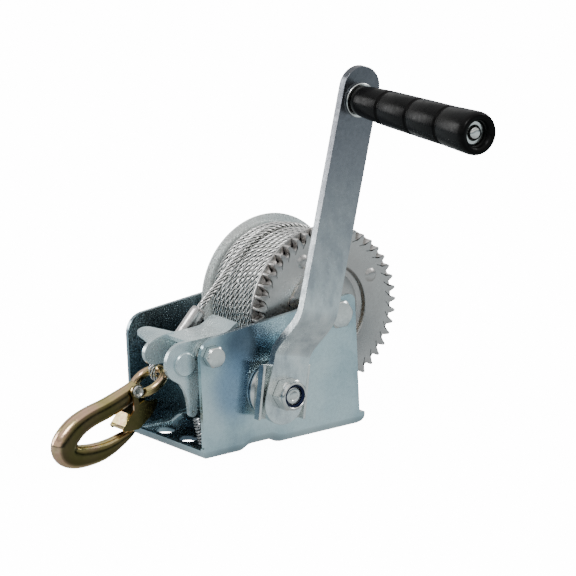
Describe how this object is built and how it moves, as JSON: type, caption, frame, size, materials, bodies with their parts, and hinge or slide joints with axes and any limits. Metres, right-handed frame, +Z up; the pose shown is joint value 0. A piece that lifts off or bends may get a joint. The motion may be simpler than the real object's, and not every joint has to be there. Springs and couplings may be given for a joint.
{
  "type": "boat trailer winch",
  "caption": "Hand-cranked boat trailer winch: U-shaped pressed frame, geared drum of wire rope, flat crank arm with turning grip, spring pawl and safety hook.",
  "frame": {"origin": "underside of the base, straight below the drum axis and midway between the side plates", "axes": "+X to the crank side along the drum axis, -Y to the front where the hook hangs, +Z up"},
  "size_m": [0.2615, 0.2496, 0.2488],
  "materials": {
    "zinc_sheet": "bright zinc plated pressed sheet",
    "arm_zinc": "zinc plated flat bar, slightly spangled",
    "bright_zinc": "bright zinc plated fasteners",
    "gear_steel": "zinc plated steel, warm grey",
    "wire_rope": "galvanised steel wire rope",
    "ferrule_aluminium": "pressed aluminium sleeve",
    "bronze_bush": "sintered bronze",
    "spring_steel": "spring wire",
    "yellow_zinc": "yellow iridescent zinc plating",
    "nylon": "nylon locking ring",
    "grip_plastic": "satin black moulded plastic"
  },
  "bodies": {
    "frame": {"frame": "zinc_sheet", "drum_axle_bolt": "bright_zinc", "drum_axle_nut": "bright_zinc", "axle_sleeve": "bright_zinc", "shaft_bushing_near": "bronze_bush", "shaft_bushing_far": "bronze_bush", "pawl_pivot_bolt": "bright_zinc", "pawl_clamp_nut": "bright_zinc", "pawl_washer": "bright_zinc", "pawl_clip": "spring_steel", "pawl_spring": "spring_steel", "cable_run": "wire_rope", "cable_loop": "wire_rope", "ferrule": "ferrule_aluminium"},
    "drum": {"drum_gear": "gear_steel", "near_flange": "gear_steel", "far_flange": "zinc_sheet", "drum_core": "zinc_sheet", "drum_bushing_near": "bronze_bush", "drum_bushing_far": "bronze_bush", "cable_winding": "wire_rope", "cable_stop": "ferrule_aluminium"},
    "crank": {"drive_shaft": "bright_zinc", "pinion": "gear_steel", "shaft_retainer": "spring_steel", "thrust_washer": "bright_zinc", "handle_bracket": "bright_zinc", "crank_arm": "arm_zinc", "crank_lock_nut": "bright_zinc", "nylon_insert": "nylon", "grip_rod": "bright_zinc", "grip_washer": "bright_zinc", "grip_end_washer": "bright_zinc"},
    "grip": {"hand_grip": "grip_plastic"},
    "pawl": {"pawl": "zinc_sheet"},
    "hook": {"hook_body": "yellow_zinc", "latch_rivet": "bright_zinc"},
    "latch": {"hook_latch": "yellow_zinc"}
  },
  "joints": [
    {"name": "drum_spin", "type": "hinge", "parent": "frame", "child": "drum", "pos_m": [0, 0, 0.0789], "axis": [1, 0, 0], "continuous": true},
    {"name": "crank_spin", "type": "hinge", "parent": "frame", "child": "crank", "pos_m": [0, -0.05187, 0.03809], "axis": [1, 0, 0], "continuous": true},
    {"name": "grip_spin", "type": "hinge", "parent": "crank", "child": "grip", "pos_m": [0.14, 0.00144, 0.22711], "axis": [1, 0, 0], "continuous": true},
    {"name": "pawl_flip", "type": "hinge", "parent": "frame", "child": "pawl", "pos_m": [0.02, -0.098, 0.069], "axis": [1, 0, 0], "range_deg": [-24, 0], "stiffness_Nm_per_rad": 0.4, "springref_deg": 20.05, "deforming": ["pawl_spring"]},
    {"name": "hook_swing", "type": "hinge", "parent": "frame", "child": "hook", "pos_m": [-0.0015, -0.10925, 0.05325], "axis": [1, 0, 0], "range_deg": [-12, 0]},
    {"name": "latch_swing", "type": "hinge", "parent": "hook", "child": "latch", "pos_m": [-0.0015, -0.1324, 0.0444], "axis": [1, 0, 0], "range_deg": [-12, 0], "stiffness_Nm_per_rad": 0.05, "springref_deg": 20.05}
  ],
  "couplings": [
    {"joint": "crank_spin", "follows": "drum_spin", "ratio": -4}
  ]
}
